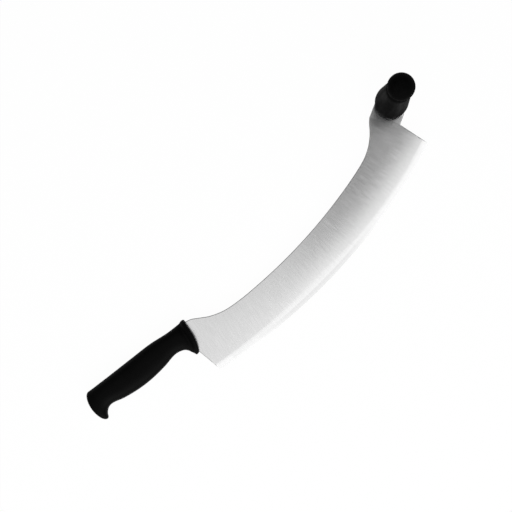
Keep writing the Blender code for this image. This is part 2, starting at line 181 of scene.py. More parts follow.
BUTT_SWEEP_DEPTH = 0.020
BUTT_FILLET = 0.0040

# Its lip, and the shallow valley in its flanks behind the lip
LIP_LENGTH = 0.0034
LIP_RISE = 0.0013
LIP_BLEND = 0.0045
VALLEY_BACK = 0.0080
VALLEY_REACH = 0.0048
VALLEY_DEPTH = 0.0015

# Its sections, and how they narrow to a seam at both ends
SECTION_POINTS = 64
SECTION_SPACING = 0.0012
FILLET_STEPS = 6
VALLEY_STEPS = 16
CAP_SHARES = (0.8, 0.6, 0.4, 0.2, 0.0)

# The second handle, turned about its axis, by height above the blade's middle plane
SECOND_BASE_Z = 0.00995
SECOND_LENGTH = 0.1100
SECOND_BALL_RADIUS = 0.0154
SECOND_BASE_RADIUS = 0.0194
SECOND_BASE_FILLET = 0.0014
SECOND_BASE_HEIGHT = 0.0090
SECOND_TOP_RADIUS = 0.0144
SECOND_TOP_BELOW_BALL = 0.0185
SECOND_WAIST_RADIUS = 0.0126
SECOND_WAIST_BELOW_BALL = 0.0122
SECOND_FLANK_SHARES = (0.15, 0.5, 0.85)
DIMPLE_RADIUS = 0.0011
DIMPLE_DEPTH = 0.0004
TURNING_STEPS = 128
BALL_STEPS = 32
CURVE_STEPS = 8

# Making: the gap between steel and plastic, merge distances, the turn under which an outline counts as
# straight, and the angles past which an edge stays sharp
CLEARANCE = 0.0003
WELD = 1e-6
OUTLINE_WELD = 10 * WELD
STRAIGHT_ANGLE = math.radians(0.05)
SMOOTH_BLADE = math.radians(25)
SMOOTH_PLASTIC = math.radians(30)

# The spans that one noise, and the sum of two, mostly keep to
NOISE_LOW = 0.3
NOISE_HIGH = 0.7
TWO_NOISES_LOW = 0.7
TWO_NOISES_HIGH = 1.3

# The steel: noise cells to the metre along the edge and in from it, depth of the marks, tones and roughness
FINE_MARKS = (2600.0, 45.0, 1.0)
FINE_DETAIL = 3.0
BROAD_MARKS = (680.0, 55.0, 1.0)
BROAD_DETAIL = 2.0
MARK_DEPTH = 0.000001
STEEL_DARKEST = 0.588
STEEL_PALEST = 0.672
STEEL_SMOOTHEST = 0.200
STEEL_ROUGHEST = 0.240
STEEL_ANISOTROPY = 0.42
# Painted shade on the rounded rims: the share of the steel's tone that is left there
RIM_PAINTED_SHADE = 0.20

# The strip beside the edge, with painted light: its painted tones at the heel and further on, its painted
# highlight at the tip, and its width
HEEL_STRIP_PAINTED_HIGHLIGHT = 1.04
MIDDLE_STRIP_PAINTED_SHADE = 0.91
TIP_STRIP_PAINTED_HIGHLIGHT = 0.13
HEEL_STRIP_END = 0.050
MIDDLE_STRIP_START = 0.110
MIDDLE_STRIP_END = 0.200
TIP_STRIP_START = 0.260
STRIP_WIDTH = 0.0045
STRIP_FADE = 0.0060

# The neck's smoother skin, from where it begins along the edge to where it is full
NECK_SKIN_START = 0.350
NECK_SKIN_FULL = 0.372
NECK_SKIN_ROUGHNESS = 0.85

# Moulded plastic: noise cells to the metre in its grain, and the grain's depth and strength
GRAIN_FINENESS = 2200.0
PLASTIC_DETAIL = 3.0
GRAIN_DEPTH = 0.000012
GRAIN_STRENGTH = 0.6

# The grip is satin and evenly clouded, and the knob is matte, with streaks up its flank. Streaks are noise
# cells to the metre
GRIP_GLOSS = 0.04
GRIP_FINISH = {
    "Darkest": 0.0004,
    "Palest": 0.0010,
    "Smoothest": 0.42,
    "Roughest": 0.54,
    "Streaks": (60.0, 60.0, 60.0),
}
KNOB_GLOSS = 0.013
KNOB_FINISH = {
    "Darkest": 0.0010,
    "Palest": 0.0026,
    "Smoothest": 0.46,
    "Roughest": 0.90,
    "Streaks": (110.0, 110.0, 16.0),
}

# The studio: a wide floor, softboxes hung level over the knife, and one at its side. A light's brightness
# is counted in the unit below, in watts for each square metre of its face
FLOOR_REACH = 60.0
FLOOR_TONE = 0.9
FLOOR_GLOW_SHARE = 0.97
SOFTBOX_HEIGHT = 2.2
SOFTBOX_WIDTH = 3.0
SOFTBOX_DEPTH = 1.6
SIDE_DISTANCE = 1.9
SIDE_WIDTH = 2.4
SIDE_HEIGHT = 1.2
BRIGHTNESS_UNIT = 4.0
WHITE = (1.0, 1.0, 1.0, 1.0)
UPWARD = Vector((0.0, 0.0, 1.0))

# The surround: a dim ceiling, and white walls that fade into it between two heights
CEILING_LEVEL = 0.255
WALL_TOP = math.sin(math.radians(8))
CEILING_START = math.sin(math.radians(28))

# Camera: fitted to the photograph's outline, straight above the blade
CAMERA_PLACE = Vector((-0.00084, -0.01495, 1.20175))
CAMERA_AIM = Vector((0.00239, 0.02290, 0.01150))
PICTURE_UP_ANGLE = math.radians(42.76)
PICTURE_UP = Vector((math.cos(PICTURE_UP_ANGLE), math.sin(PICTURE_UP_ANGLE), 0.0))
LENS_MM = 70.97
SENSOR_MM = 36.0


def second_axis():
    """The second handle's axis in plan, which is the middle of its node."""
    low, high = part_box("second_handle")
    return ((low + high) / 2).xy


HEEL = second_axis() - Vector((CHORD + AXIS_PAST_TIP, AXIS_HEIGHT))
PLATE_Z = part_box("blade")[0].z + HALF_BLADE
EDGE_CENTRE = HEEL + Vector((CHORD / 2, math.sqrt(EDGE_RADIUS**2 - (CHORD / 2) ** 2)))
HEEL_ANGLE = -math.pi / 2 - math.asin(CHORD / 2 / EDGE_RADIUS)
EDGE_LENGTH = 2 * math.asin(CHORD / 2 / EDGE_RADIUS) * EDGE_RADIUS


def on_handle(back, height):
    """The plan point a distance behind the main handle's front and a height above its axis."""
    cosine, sine = math.cos(HANDLE_TILT), math.sin(HANDLE_TILT)
    x = HANDLE_X - back * cosine + height * sine
    y = HANDLE_Y + back * sine + height * cosine
    return HEEL + Vector((x, y))


def along_and_in(place):
    """A plan point's distance along the cutting edge from the heel, and in from the edge."""
    arm = place - EDGE_CENTRE
    angle = math.atan2(arm.y, arm.x)
    return (angle - HEEL_ANGLE) * EDGE_RADIUS, EDGE_RADIUS - arm.length


def arc(centre, radius, start, end, steps):
    angles = [start + (end - start) * step / steps for step in range(steps + 1)]
    return [centre + radius * Vector((math.cos(angle), math.sin(angle))) for angle in angles]


def smooth_line(points, samples):
    """A smooth curve through the points, with this many samples between each two."""
    line = []
    for index in range(len(points) - 1):
        start, end = points[index], points[index + 1]
        before, after = points[max(index - 1, 0)], points[min(index + 2, len(points) - 1)]
        reach = (end - start).length / 3
        leave = start + (end - before).normalized() * reach
        arrive = end - (after - start).normalized() * reach
        line += interpolate_bezier(start, leave, arrive, end, samples + 1)[:-1]
    return line + [points[-1]]


def smooth_value(table, place):
    """The value at a place between rows of (place, value), on a curve that never overshoots a row."""
    slopes = []
    for index in range(len(table)):
        before, after = table[max(index - 1, 0)], table[min(index + 1, len(table) - 1)]
        here = table[index]
        turning = (here[1] - before[1]) * (after[1] - here[1]) <= 0
        slopes.append(0.0 if turning else (after[1] - before[1]) / (after[0] - before[0]))
    for index in range(len(table) - 1):
        (start, low), (end, high) = table[index], table[index + 1]
        if place <= end or index == len(table) - 2:
            span = end - start
            share = min(max((place - start) / span, 0.0), 1.0)
            left = low + slopes[index] * span / 3
            right = high - slopes[index + 1] * span / 3
            rest = 1 - share
            return (
                low * rest**3
                + 3 * left * rest**2 * share
                + 3 * right * rest * share**2
                + high * share**3
            )


def new_piece(name, shape):
    """A new object, at the origin, that takes over a bmesh."""
    mesh = bpy.data.meshes.new(name)
    shape.to_mesh(mesh)
    shape.free()
    piece = bpy.data.objects.new(name, mesh)
    bpy.context.scene.collection.objects.link(piece)
    return piece


def apply_modifier(piece, kind, **settings):
    """Adds a modifier to a piece and bakes its result into the mesh."""
    modifier = piece.modifiers.new(kind.lower(), kind)
    for name, value in settings.items():
        setattr(modifier, name, value)
    bpy.context.view_layer.update()
    graph = bpy.context.evaluated_depsgraph_get()
    mesh = bpy.data.meshes.new_from_object(piece.evaluated_get(graph))
    mesh.name = piece.name
    piece.modifiers.clear()
    piece.data = mesh


def cut(piece, operation, tool):
    apply_modifier(piece, "BOOLEAN", operation=operation, object=tool, solver="EXACT")


def finish_piece(piece, node, material, smooth_angle):
    """Gives a piece its shading and material, and lets it stand for its node."""
    low, high = cad_box
    for vert in piece.data.vertices:
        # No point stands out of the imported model's box, not even by a rounding error
        vert.co = [min(max(value, low[axis]), high[axis]) for axis, value in enumerate(vert.co)]
    piece.data.materials.clear()
    piece.data.materials.append(material)
    piece.data.shade_smooth()
    piece.data.set_sharp_from_angle(angle=smooth_angle)
    apply_modifier(piece, "WEIGHTED_NORMAL", mode="FACE_AREA_WITH_ANGLE", weight=50, keep_sharp=True)
    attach(piece, "root")
    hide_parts(node)


def chains_of(edges):
    """Splits edges into chains that share no point."""
    waiting = set(edges)
    chains = []
    while waiting:
        chain, border = [], [waiting.pop()]
        while border:
            edge = border.pop()
            chain.append(edge)
            near = {other for vert in edge.verts for other in vert.link_edges} & waiting
            waiting -= near
            border += near
        chains.append(chain)
    return chains


def is_straight(vert):
    """Whether a chain of edges runs straight on through one of its points."""
    first, second = (edge.other_vert(vert).co - vert.co for edge in vert.link_edges)
    return first.angle(-second) < STRAIGHT_ANGLE


def plate():
    """The blade's plate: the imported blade's outline at its middle plane, raised to its thickness."""
    shape = bmesh.new()
    shape.from_mesh(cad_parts["blade"].data)
    bmesh.ops.remove_doubles(shape, verts=shape.verts, dist=WELD)
    bmesh.ops.bisect_plane(
        shape,
        geom=[*shape.verts, *shape.edges, *shape.faces],
        dist=WELD,
        plane_co=(0.0, 0.0, PLATE_Z),
        plane_no=(0.0, 0.0, 1.0),
        clear_inner=True,
        clear_outer=True,
    )
    bmesh.ops.remove_doubles(shape, verts=shape.verts, dist=OUTLINE_WELD)
    # The longest chain is the plate's outline, and the short ones are holes that the main handle hides
    outline = {vert for edge in max(chains_of(shape.edges), key=len) for vert in edge.verts}
    holes = [vert for vert in shape.verts if vert not in outline]
    bmesh.ops.delete(shape, geom=holes, context="VERTS")
    bmesh.ops.dissolve_verts(shape, verts=[vert for vert in shape.verts if is_straight(vert)])
    bmesh.ops.translate(shape, verts=shape.verts, vec=(0.0, 0.0, -HALF_BLADE))
    bmesh.ops.contextual_create(shape, geom=list(shape.edges))
    raised = bmesh.ops.extrude_face_region(shape, geom=list(shape.faces))
    top = [item for item in raised["geom"] if isinstance(item, bmesh.types.BMVert)]
    bmesh.ops.translate(shape, verts=top, vec=(0.0, 0.0, BLADE_THICKNESS))
    bmesh.ops.recalc_face_normals(shape, faces=shape.faces)
    rims = [edge for edge in shape.edges if abs(edge.verts[0].co.z - edge.verts[1].co.z) < WELD]
    bmesh.ops.bevel(
        shape,
        geom=rims,
        offset=SPINE_ROUND,
        offset_type="OFFSET",
        affect="EDGES",
        segments=ROUND_STEPS,
        profile=0.5,
        material=-1,
    )
    return shape


def bend_up(shape):
    """Cuts the neck off where its bend begins, and sweeps the cut end up into the second tang."""
    along = Vector((math.cos(NECK_ANGLE), math.sin(NECK_ANGLE), 0.0))
    across = Vector((-math.sin(NECK_ANGLE), math.cos(NECK_ANGLE), 0.0))
    axis = second_axis().to_3d() + Vector((0.0, 0.0, PLATE_Z))
    start = axis - along * (BEND_RADIUS + HALF_BLADE)
    # A first cut just before the bend keeps its curved shading off the flat faces
    for place, clears in ((start - along * BEND_SUPPORT, False), (start, True)):
        bmesh.ops.bisect_plane(
            shape,
            geom=[*shape.verts, *shape.edges, *shape.faces],
            dist=WELD,
            plane_co=place,
            plane_no=along,
            clear_outer=clears,
        )
    rim = [edge for edge in shape.edges if edge.is_boundary]
    rim_verts = [vert for vert in shape.verts if vert.is_boundary]
    turn = bmesh.ops.spin(
        shape,
        geom=[*rim_verts, *rim],
        cent=start + Vector((0.0, 0.0, HALF_BLADE + BEND_RADIUS)),
        axis=across,
        angle=-math.pi / 2,
        steps=BEND_STEPS,
        use_merge=False,
    )
    end = turn["geom_last"]
    half = NECK_WIDTH / 2
    taper_top = SHOULDER_HEIGHT + half - TANG_HALF_WIDTH
    levels = ((SHOULDER_HEIGHT, half), (taper_top, TANG_HALF_WIDTH), (TANG_TOP, TANG_HALF_WIDTH))
    for level, half_width in levels:
        edges = [item for item in end if isinstance(item, bmesh.types.BMEdge)]
        end = bmesh.ops.extrude_edge_only(shape, edges=edges)["geom"]
        verts = [item for item in end if isinstance(item, bmesh.types.BMVert)]
        middle = sum((vert.co.dot(across) for vert in verts), 0.0) / len(verts)
        widest = max(abs(vert.co.dot(across) - middle) for vert in verts)
        for vert in verts:
            aside = vert.co.dot(across) - middle
            vert.co += across * (aside * (half_width / widest - 1))
            vert.co.z = PLATE_Z + level
    bmesh.ops.holes_fill(shape, edges=[edge for edge in shape.edges if edge.is_boundary], sides=0)
    bmesh.ops.recalc_face_normals(shape, faces=shape.faces)


def bevel_width(along):
    """The ground bevel's width, a little uneven from one pass of the grinder to the next."""
    uneven = noise.noise(Vector((along / JITTER_LENGTH, 0.0, 0.0)))
    return smooth_value(BEVEL_WIDTHS, along) + JITTER * uneven


def ground_half(distance, along):
    """Half the blade's thickness at a distance in from the cutting edge."""
    width = bevel_width(along)
    full = HALF_BLADE - FACE_SKIM
    corner = smooth_value(BEVEL_HALVES, along)
    bevel_slope = (corner - EDGE_BEVEL_HALF) / (width - EDGE_BEVEL)
    face_slope = 2 * (full - corner) / (GRIND_WIDTH - width)
    if distance <= EDGE_BEVEL:
        return EDGE_HALF + (EDGE_BEVEL_HALF - EDGE_HALF) * distance / EDGE_BEVEL
    if distance <= width:
        half = EDGE_BEVEL_HALF + bevel_slope * (distance - EDGE_BEVEL)
    elif distance < GRIND_WIDTH:
        rest = 1 - (distance - width) / (GRIND_WIDTH - width)
        half = full - (full - corner) * rest**2
    else:
        return full
    # The corner between bevel and face is drawn over softly
    reach = BLEND_SHARE * width
    inside = max(reach - abs(distance - width), 0.0)
    return half - (bevel_slope - face_slope) / (4 * reach) * inside**2


def ring_distance(ring, along):
    """How far in from the edge a ring of the grinding form lies."""
    zone, share = ring
    width = bevel_width(along)
    reach = BLEND_SHARE * width
    if zone == "edge":
        return EDGE_BEVEL * share
    if zone == "bevel":
        return EDGE_BEVEL + (width - reach - EDGE_BEVEL) * share
    if zone == "blend":
        return width + reach * share
    return width + reach + (GRIND_WIDTH - width - reach) * share


def grinding_form():
    """The solid between the blade's two ground faces, swept round the centre of the cutting edge."""
    rings = [(zone, share) for zone, shares in FORM_RINGS for share in shares]
    sides = [(ring, 1) for ring in rings] + [(ring, -1) for ring in reversed(rings)]
    first = HEEL_ANGLE - PAST_HEEL / EDGE_RADIUS
    outward = Vector((math.cos(first), math.sin(first)))
    turn = (PAST_HEEL + EDGE_LENGTH + PAST_TIP) / EDGE_RADIUS
    shape = bmesh.new()
    mark = shape.verts.layers.int.new("ring")
    loop = []
    for number in range(len(sides)):
        place = EDGE_CENTRE + outward * (EDGE_RADIUS - number * GRIND_STEP)
        vert = shape.verts.new((place.x, place.y, 0.0))
        vert[mark] = number
        loop.append(vert)
    edges = [shape.edges.new((loop[index - 1], loop[index])) for index in range(len(loop))]
    bmesh.ops.spin(
        shape,
        geom=[*loop, *edges],
        cent=EDGE_CENTRE.to_3d(),
        axis=(0.0, 0.0, 1.0),
        angle=turn,
        steps=round(turn * EDGE_RADIUS / GRIND_STEP),
        use_merge=False,
    )
    for vert in shape.verts:
        arm = vert.co.xy - EDGE_CENTRE
        along = along_and_in(vert.co.xy)[0]
        ring, side = sides[vert[mark]]
        distance = ring_distance(ring, along)
        place = EDGE_CENTRE + arm.normalized() * (EDGE_RADIUS - distance)
        vert.co = (place.x, place.y, PLATE_Z + side * ground_half(distance, along))
    bmesh.ops.holes_fill(shape, edges=[edge for edge in shape.edges if edge.is_boundary], sides=0)
    bmesh.ops.recalc_face_normals(shape, faces=shape.faces)
    return shape


def map_blade(mesh):
    """Gives the blade a UV map in metres, along the edge and in from it, and marks its rounded rims for
    painted shade.
    """
    uv = mesh.uv_layers.new(name="along_blade")
    rim = mesh.attributes.new("rim", "FLOAT", "POINT")
    places = []
    for vert in mesh.vertices:
        along, inward = along_and_in(vert.co.xy)
        above = max(vert.co.z - PLATE_Z - HALF_BLADE, 0.0)
        places.append((along, inward + above))
        tilt = 1 - abs(vert.normal.z)
        is_heel_cut = along < HEEL_CUT_END and inward < GRIND_WIDTH
        is_rim = above < WELD and inward > 2 * EDGE_BEVEL and not is_heel_cut
        rim.data[vert.index].value = min(tilt / RIM_TILT, 1.0) if is_rim else 0.0
    for loop in mesh.loops:
        uv.data[loop.index].uv = places[loop.vertex_index]


def make_blade(material):
    blade = new_piece("blade_ground", plate())
    form = new_piece("grinding_form", grinding_form())
    cut(blade, "INTERSECT", form)
    bpy.data.objects.remove(form, do_unlink=True)
    shape = bmesh.new()
    shape.from_mesh(blade.data)
    bend_up(shape)
    shape.to_mesh(blade.data)
    shape.free()
    map_blade(blade.data)
    finish_piece(blade, "blade", material, SMOOTH_BLADE)


def slot_tool():
    """The blade before grinding, swollen by the clearance: what both handles are hollowed with."""
    shape = plate()
    bend_up(shape)
    shape.normal_update()
    for vert in shape.verts:
        vert.co += vert.normal * CLEARANCE * vert.calc_shell_factor()
    return new_piece("slot_tool", shape)


def fillet_inset(distance, radius):
    """How far a section draws in at a distance from an end with a rounded rim."""
    if distance >= radius:
        return 0.0
    return radius - math.sqrt(radius**2 - (radius - distance) ** 2)


def lip_rise(back):
    """How far the front lip stands out from the handle's body at a distance behind the front."""
    share = min(max((back - LIP_LENGTH) / LIP_BLEND, 0.0), 1.0)
    return LIP_RISE * (1 - share * share * (3 - 2 * share))


def valley_depth(back):
    """How deep the valley behind the lip is cut into the flank at a distance behind the front."""
    share = min(abs(back - VALLEY_BACK) / VALLEY_REACH, 1.0)
    return VALLEY_DEPTH * (1 - share * share) ** 2


def handle_stations():
    """Distances behind the front where the main handle's sections stand."""
    quarter = [math.pi / 2 * step / FILLET_STEPS for step in range(FILLET_STEPS + 1)]
    front = [FRONT_FILLET * (1 - math.cos(angle)) for angle in quarter]
    butt = [HANDLE_LENGTH - BUTT_FILLET * (1 - math.cos(angle)) for angle in reversed(quarter)]
    span = VALLEY_BACK + VALLEY_REACH - LIP_LENGTH
    valley = [LIP_LENGTH + span * step / VALLEY_STEPS for step in range(VALLEY_STEPS + 1)]
    count = round((butt[0] - valley[-1]) / SECTION_SPACING)
    spacing = (butt[0] - valley[-1]) / count
    body = [valley[-1] + spacing * index for index in range(1, count)]
    return [*front, *valley, *body, *butt]


def handle_section(station, width_share=1.0):
    """One section of the main handle: an oval whose height follows the outlines above and below."""
    inset = fillet_inset(station, FRONT_FILLET) + fillet_inset(HANDLE_LENGTH - station, BUTT_FILLET)
    out = lip_rise(station) - inset
    top = smooth_value(HANDLE_TOP, station) + out
    bottom = smooth_value(HANDLE_BOTTOM, station) - out
    half = smooth_value(HANDLE_HALF_THICKNESS, station) + out - valley_depth(station)
    front_share = max(1 - station / FRONT_SWEEP_DEPTH, 0.0)
    butt_share = max(1 - (HANDLE_LENGTH - station) / BUTT_SWEEP_DEPTH, 0.0)
    section = []
    for index in range(SECTION_POINTS):
        angle = 2 * math.pi * index / SECTION_POINTS
        rise = math.copysign(abs(math.cos(angle)) ** (2 / HANDLE_SQUARENESS), math.cos(angle))
        width = math.copysign(abs(math.sin(angle)) ** (2 / HANDLE_SQUARENESS), math.sin(angle))
        height = (top + bottom) / 2 + (top - bottom) / 2 * rise
        below = min(height - FRONT_FLAT_ABOVE, 0.0)
        back = station + front_share * below**2 / (2 * FRONT_FACE_RADIUS)
        back -= butt_share * (height - BUTT_CENTRE) ** 2 / (2 * BUTT_RADIUS)
        place = on_handle(back, height)
        section.append(Vector((place.x, place.y, PLATE_Z + half * width * width_share)))
    return section


def follow_ring(ring, drawn):
    """The new points that extruding a ring made, in the old ring's order."""
    new = {item for item in drawn if isinstance(item, bmesh.types.BMVert)}
    following = []
    for vert in ring:
        partner = next(other for edge in vert.link_edges if (other := edge.other_vert(vert)) in new)
        following.append(partner)
    return following


def make_main_handle(material, tool):
    """The main handle: its sections drawn out one after another, and closed to a seam at each end."""
    stations = handle_stations()
    sections = [handle_section(stations[0], share) for share in reversed(CAP_SHARES)]
    sections += [handle_section(station) for station in stations]
    sections += [handle_section(stations[-1], share) for share in CAP_SHARES]
    shape = bmesh.new()
    ring = bmesh.ops.create_circle(shape, segments=SECTION_POINTS, radius=1.0)["verts"]
    edges = list(shape.edges)
    for vert, place in zip(ring, sections[0]):
        vert.co = place
    for section in sections[1:]:
        drawn = bmesh.ops.extrude_edge_only(shape, edges=edges)["geom"]
        edges = [item for item in drawn if isinstance(item, bmesh.types.BMEdge)]
        ring = follow_ring(ring, drawn)
        for vert, place in zip(ring, section):
            vert.co = place
    bmesh.ops.remove_doubles(shape, verts=shape.verts, dist=WELD)
    bmesh.ops.recalc_face_normals(shape, faces=shape.faces)
    handle = new_piece("main_handle_moulded", shape)
    cut(handle, "DIFFERENCE", tool)
    finish_piece(handle, "main_handle", material, SMOOTH_PLASTIC)


def second_handle_profile():
    """The second handle's outline from the pole of its ball down to its base, as (radius, height)."""
    base = SECOND_BASE_Z
    pole = base + SECOND_LENGTH
    ball_centre = pole - SECOND_BALL_RADIUS
    dimple = [(0.0, pole - DIMPLE_DEPTH), (DIMPLE_RADIUS / 2, pole - DIMPLE_DEPTH)]
    rim = math.asin(DIMPLE_RADIUS / SECOND_BALL_RADIUS)
    ball = arc(Vector((0.0, ball_centre)), SECOND_BALL_RADIUS, math.pi / 2 - rim, 0.0, BALL_STEPS)
    top = Vector((SECOND_TOP_RADIUS, ball_centre - SECOND_TOP_BELOW_BALL))
    bottom = Vector((SECOND_BASE_RADIUS, base + SECOND_BASE_HEIGHT))
    waist = Vector((SECOND_WAIST_RADIUS, ball_centre - SECOND_WAIST_BELOW_BALL))
    flank = (top.lerp(bottom, share) for share in SECOND_FLANK_SHARES)
    foot = Vector((SECOND_BASE_RADIUS, base + SECOND_BASE_FILLET))
    side = smooth_line([ball[-1], waist, top, *flank, bottom, foot], CURVE_STEPS)
    centre = Vector((SECOND_BASE_RADIUS - SECOND_BASE_FILLET, base + SECOND_BASE_FILLET))
    fillet = arc(centre, SECOND_BASE_FILLET, 0.0, -math.pi / 2, FILLET_STEPS)
    outline = [(point.x, point.y) for point in (*ball, *side[1:], *fillet[1:])]
    return [*dimple, *outline, (0.0, base)]


def make_second_handle(material, tool):
    """The second handle: its outline turned about its axis."""
    axis = second_axis()
    profile = second_handle_profile()
    shape = bmesh.new()
    line = [shape.verts.new((axis.x + radius, axis.y, PLATE_Z + height)) for radius, height in profile]
    edges = [shape.edges.new(pair) for pair in zip(line, line[1:])]
    bmesh.ops.spin(
        shape,
        geom=[*line, *edges],
        cent=axis.to_3d(),
        axis=(0.0, 0.0, 1.0),
        angle=2 * math.pi,
        steps=TURNING_STEPS,
        use_merge=True,
    )
    bmesh.ops.remove_doubles(shape, verts=shape.verts, dist=WELD)
    bmesh.ops.recalc_face_normals(shape, faces=shape.faces)
    handle = new_piece("second_handle_moulded", shape)
    cut(handle, "DIFFERENCE", tool)
    finish_piece(handle, "second_handle", material, SMOOTH_PLASTIC)


class Nodes:
    """A short way to add nodes to a tree and link them."""

    def __init__(self, tree):
        self.tree = tree

    def add(self, kind, inputs=(), **settings):
        node = self.tree.nodes.new(kind)
        for name, value in settings.items():
            setattr(node, name, value)
        for socket, value in dict(inputs).items():
            if isinstance(value, bpy.types.NodeSocket):
                self.link(value, node.inputs[socket])
            else:
                node.inputs[socket].default_value = value
        return node

    def link(self, value, socket):
        self.tree.links.new(value, socket)

    def math(self, operation, first, second):
        return self.add("ShaderNodeMath", {0: first, 1: second}, operation=operation).outputs["Value"]

    def scale(self, value, low_in, high_in, low_out, high_out):
        spans = {"From Min": low_in, "From Max": high_in, "To Min": low_out, "To Max": high_out}
        return self.add("ShaderNodeMapRange", {**spans, "Value": value}).outputs["Result"]

    def stretch(self, place, scale):
        return self.add("ShaderNodeMapping", {"Vector": place, "Scale": scale}).outputs["Vector"]

    def noise(self, place, scale, detail):
        inputs = {"Vector": place, "Scale": scale, "Detail": detail}
        return self.add("ShaderNodeTexNoise", inputs).outputs["Fac"]

    def grey(self, tone):
        inputs = {"Red": tone, "Green": tone, "Blue": tone}
        return self.add("ShaderNodeCombineColor", inputs).outputs["Color"]

    def bump(self, height, strength):
        inputs = {"Height": height, "Distance": 1.0, "Strength": strength}
        return self.add("ShaderNodeBump", inputs).outputs["Normal"]


def new_material(name):
    material = bpy.data.materials.new(name)
    material.use_nodes = True
    nodes = Nodes(material.node_tree)
    shader = material.node_tree.nodes["Principled BSDF"]
    return material, nodes, shader


def painted_edge_light(nodes, along, inward):
    """How much paler or darker the strip beside the edge is painted: a painted highlight at heel and tip,
    painted shade between.
    """
    from_heel = nodes.scale(along, HEEL_STRIP_END, MIDDLE_STRIP_START, HEEL_STRIP_PAINTED_HIGHLIGHT, MIDDLE_STRIP_PAINTED_SHADE)
    to_tip = nodes.scale(along, MIDDLE_STRIP_END, TIP_STRIP_START, 0.0, TIP_STRIP_PAINTED_HIGHLIGHT)
    strip = nodes.math("ADD", from_heel, to_tip)
    return nodes.scale(inward, STRIP_WIDTH, STRIP_FADE, strip, 1.0)


def steel():
    """Brushed stainless steel, with marks that run in from the edge."""
    material, nodes, shader = new_material("brushed_steel")
    shader.inputs["Metallic"].default_value = 1.0
    shader.inputs["Anisotropic"].default_value = STEEL_ANISOTROPY
    place = nodes.add("ShaderNodeUVMap", uv_map="along_blade").outputs["UV"]
    sides = nodes.add("ShaderNodeSeparateXYZ", {"Vector": place}).outputs
    fine_marks = nodes.noise(nodes.stretch(place, FINE_MARKS), 1.0, FINE_DETAIL)
    broad_marks = nodes.noise(nodes.stretch(place, BROAD_MARKS), 1.0, BROAD_DETAIL)
    half_fine = nodes.math("MULTIPLY", fine_marks, 0.5)
    half_broad = nodes.math("MULTIPLY", broad_marks, 0.5)
    marks = nodes.math("ADD", half_fine, half_broad)
    tone = nodes.scale(marks, NOISE_LOW, NOISE_HIGH, STEEL_DARKEST, STEEL_PALEST)
    # Painted light along the edge: the strip is paler at heel and tip and darker between, standing in for
    # the light the ground edge reflects
    tone = nodes.math("MULTIPLY", tone, painted_edge_light(nodes, sides["X"], sides["Y"]))
    # Painted shade: the rounded rims are darkened in colour, standing in for the shade that their tilt
    # catches
    rim = nodes.add("ShaderNodeAttribute", attribute_name="rim").outputs["Fac"]
    tone = nodes.math("MULTIPLY", tone, nodes.scale(rim, 0.0, 1.0, 1.0, RIM_PAINTED_SHADE))
    nodes.link(nodes.grey(tone), shader.inputs["Base Color"])
    rough = nodes.scale(broad_marks, NOISE_LOW, NOISE_HIGH, STEEL_SMOOTHEST, STEEL_ROUGHEST)
    # The neck was never ground, and keeps the smoother skin of the rolled sheet
    skin = nodes.scale(sides["X"], NECK_SKIN_START, NECK_SKIN_FULL, 1.0, NECK_SKIN_ROUGHNESS)
    nodes.link(nodes.math("MULTIPLY", rough, skin), shader.inputs["Roughness"])
    height = nodes.math("MULTIPLY", fine_marks, MARK_DEPTH)
    nodes.link(nodes.bump(height, 1.0), shader.inputs["Normal"])
    tangent = nodes.add("ShaderNodeTangent", direction_type="UV_MAP", uv_map="along_blade")
    nodes.link(tangent.outputs["Tangent"], shader.inputs["Tangent"])
    return material


def moulded_grain():
    """A node group for moulded plastic: a fine spark-eroded grain under a clouded or streaked tone."""
    group = bpy.data.node_groups.new("moulded_grain", "ShaderNodeTree")
    for name in ("Place", "Streaks"):
        group.interface.new_socket(name, in_out="INPUT", socket_type="NodeSocketVector")
    for name in ("Darkest", "Palest", "Smoothest", "Roughest"):
        group.interface.new_socket(name, in_out="INPUT", socket_type="NodeSocketFloat")
    group.interface.new_socket("Colour", in_out="OUTPUT", socket_type="NodeSocketColor")
    for name in ("Roughness", "Height"):
        group.interface.new_socket(name, in_out="OUTPUT", socket_type="NodeSocketFloat")
    nodes = Nodes(group)
    given = nodes.add("NodeGroupInput").outputs
    grain = nodes.noise(given["Place"], GRAIN_FINENESS, PLASTIC_DETAIL)
    cloud = nodes.noise(nodes.stretch(given["Place"], given["Streaks"]), 1.0, PLASTIC_DETAIL)
    tone = nodes.scale(cloud, NOISE_LOW, NOISE_HIGH, given["Darkest"], given["Palest"])
    both = nodes.math("ADD", grain, cloud)
    smoothest, roughest = given["Smoothest"], given["Roughest"]
    rough = nodes.scale(both, TWO_NOISES_LOW, TWO_NOISES_HIGH, smoothest, roughest)
    height = nodes.math("MULTIPLY", grain, GRAIN_DEPTH)
    nodes.add("NodeGroupOutput", {"Colour": nodes.grey(tone), "Roughness": rough, "Height": height})
    return group


def plastic(name, grain, gloss, finish):
    """Black moulded plastic: a grain group with the finish that this piece's mould gave it."""
    material, nodes, shader = new_material(name)
    shader.inputs["Specular IOR Level"].default_value = gloss
    place = nodes.add("ShaderNodeTexCoord").outputs["Object"]
    surface = nodes.add("ShaderNodeGroup", {"Place": place, **finish}, node_tree=grain).outputs
    nodes.link(surface["Colour"], shader.inputs["Base Color"])
    nodes.link(surface["Roughness"], shader.inputs["Roughness"])
    nodes.link(nodes.bump(surface["Height"], GRAIN_STRENGTH), shader.inputs["Normal"])
    return material


